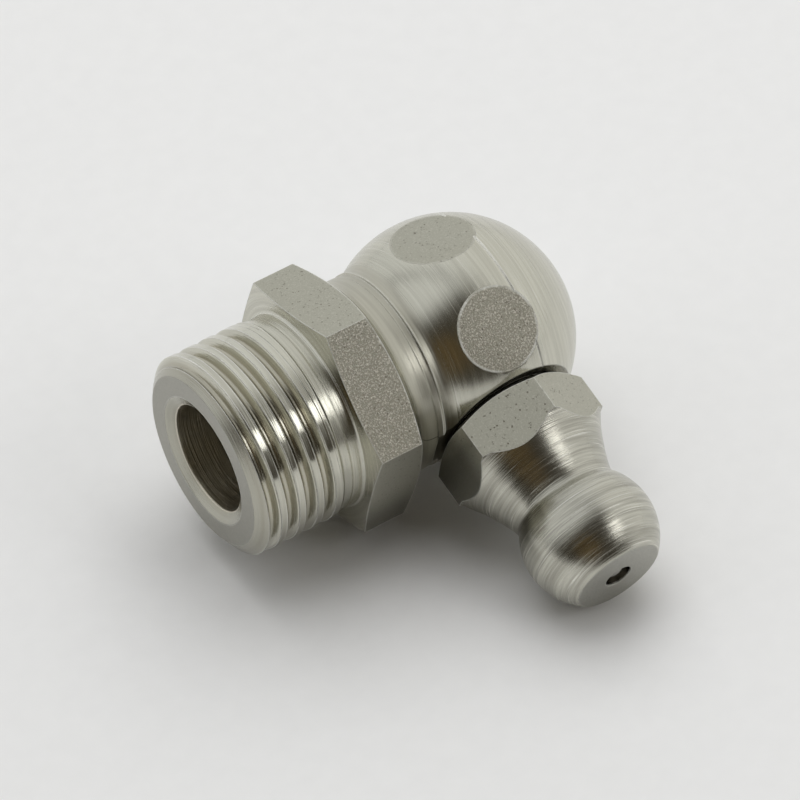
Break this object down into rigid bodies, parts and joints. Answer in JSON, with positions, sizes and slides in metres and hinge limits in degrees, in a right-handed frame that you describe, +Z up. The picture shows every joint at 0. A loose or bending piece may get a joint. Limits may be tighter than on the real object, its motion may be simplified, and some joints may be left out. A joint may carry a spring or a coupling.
{
  "type": "90 degree grease fitting",
  "caption": "Right-angle stainless grease fitting: threaded elbow with a hexagon and ball, a ball-headed nipple screwed into its side, and a sprung check ball.",
  "frame": {"origin": "on the thread's axis, in the plane of the hexagon's seat around the thread", "axes": "+X along the thread's axis, from the thread towards the ball; +Z up, square to the table that the fitting lies on, with one edge of its hexagon and the nipple's head touching the table; the nipple points along -Y and 14 degrees down"},
  "size_m": [0.0196, 0.0207, 0.0124],
  "materials": {
    "stainless_body": "turned, with as-drawn bar faces",
    "stainless_nipple": "turned",
    "ball_steel": "polished",
    "spring_steel": "drawn wire",
    "stainless_ring": "satin"
  },
  "bodies": {
    "fitting": {"elbow_body": "stainless_body", "grease_nipple": "stainless_nipple", "check_spring": "spring_steel", "spring_retainer": "stainless_ring"},
    "check_ball": {"check_ball": "ball_steel"}
  },
  "joints": [
    {"name": "check_ball_travel", "type": "slide", "parent": "fitting", "child": "check_ball", "axis": [0, 0.9703, 0.2417], "range_m": [0, 0.001], "stiffness_N_per_m": 300, "springref_m": -0.001, "deforming": ["check_spring"]}
  ]
}
